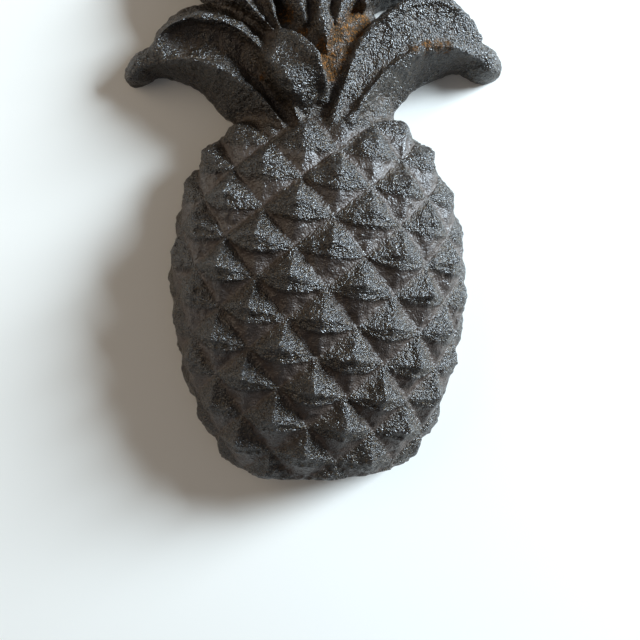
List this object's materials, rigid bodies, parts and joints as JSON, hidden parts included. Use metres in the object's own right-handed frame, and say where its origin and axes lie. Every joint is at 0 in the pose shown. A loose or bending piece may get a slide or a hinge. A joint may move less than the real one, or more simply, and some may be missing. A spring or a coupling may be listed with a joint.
{
  "type": "cast iron pineapple ornament",
  "caption": "Half-round cast iron pineapple with a skewed net of drooping scales, a leaf crown and a flat hollow back.",
  "frame": {"origin": "centre of the footprint of the casting, on the plane of its flat back", "axes": "+X across the fruit to the viewer's right, +Y from the cut foot to the crown, +Z out of the back towards the front of the fruit"},
  "size_m": [0.1796, 0.2902, 0.0539],
  "materials": {
    "cast_iron": "dark paint worn over rough sand-cast iron, with rust in the hollows"
  },
  "bodies": {
    "root": {"pineapple_casting": "cast_iron"}
  },
  "joints": []
}
